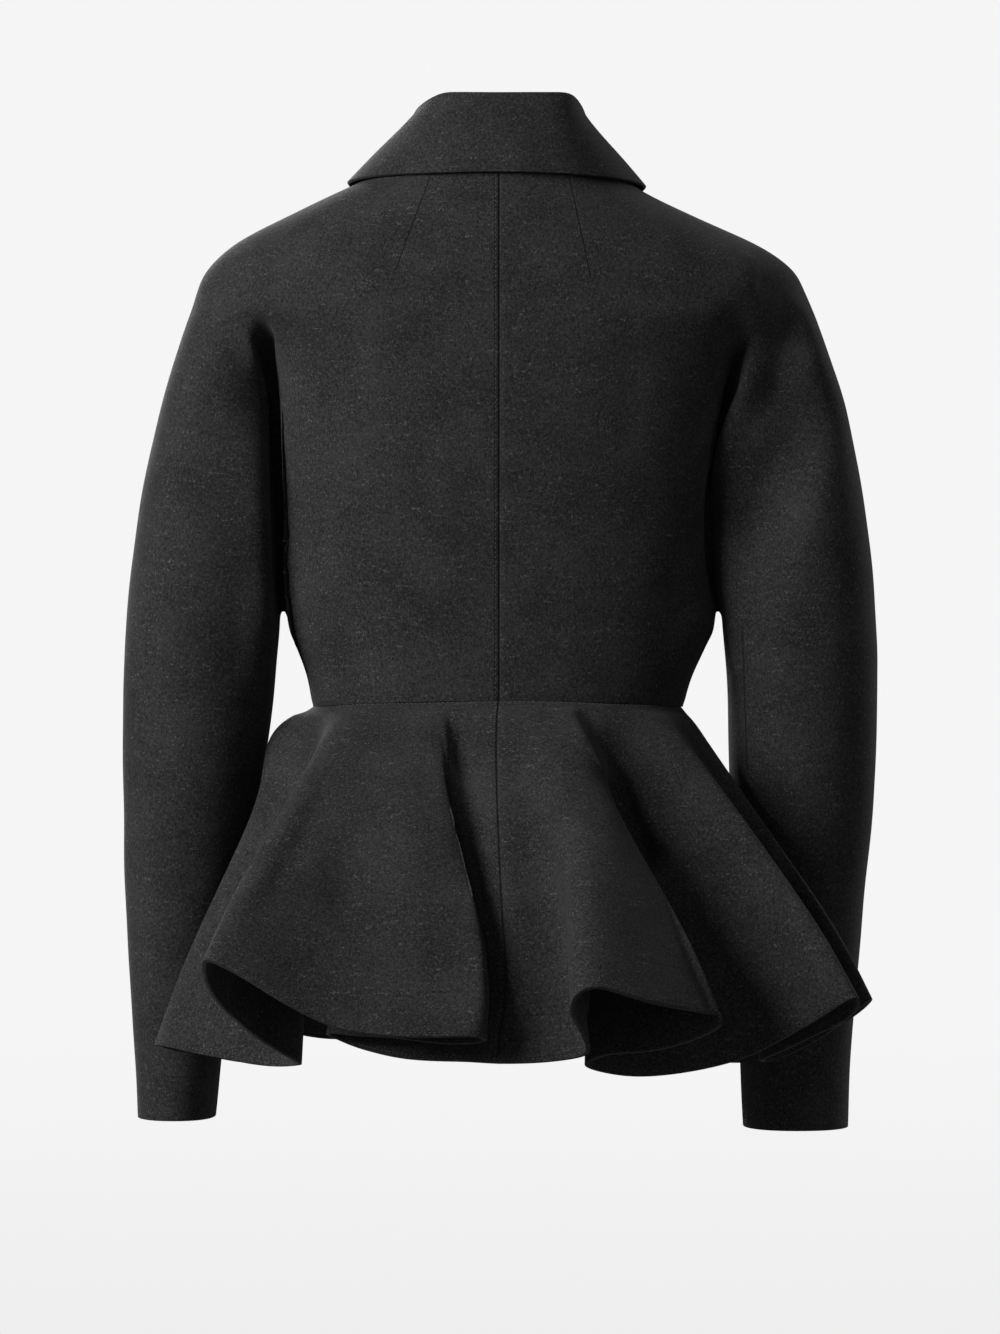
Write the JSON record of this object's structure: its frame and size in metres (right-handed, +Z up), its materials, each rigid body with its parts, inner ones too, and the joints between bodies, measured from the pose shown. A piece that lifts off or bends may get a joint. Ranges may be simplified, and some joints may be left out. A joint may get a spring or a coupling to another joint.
{
  "type": "peplum jacket",
  "caption": "Worn charcoal wool jacket with a fold-over collar, sleeves cut in one with the bodice, and a long flared peplum sewn on at the waist.",
  "frame": {"origin": "middle of the neck opening, level with the seam at the back of the neck", "axes": "+Z up, the jacket faces -Y, and +X is towards the wearer's left"},
  "size_m": [0.5285, 0.4911, 0.721],
  "materials": {
    "wool": "soft matt melange wool",
    "button": "dull polished horn look"
  },
  "bodies": {
    "root": {"bodice_back_left": "wool", "bodice_back_right": "wool", "bodice_front_left": "wool", "bodice_front_right": "wool", "collar": "wool", "peplum_back_left": "wool", "peplum_back_right": "wool", "peplum_front_left": "wool", "peplum_front_right": "wool", "button_1": "button", "button_2": "button", "button_3": "button", "button_4": "button"}
  },
  "joints": []
}
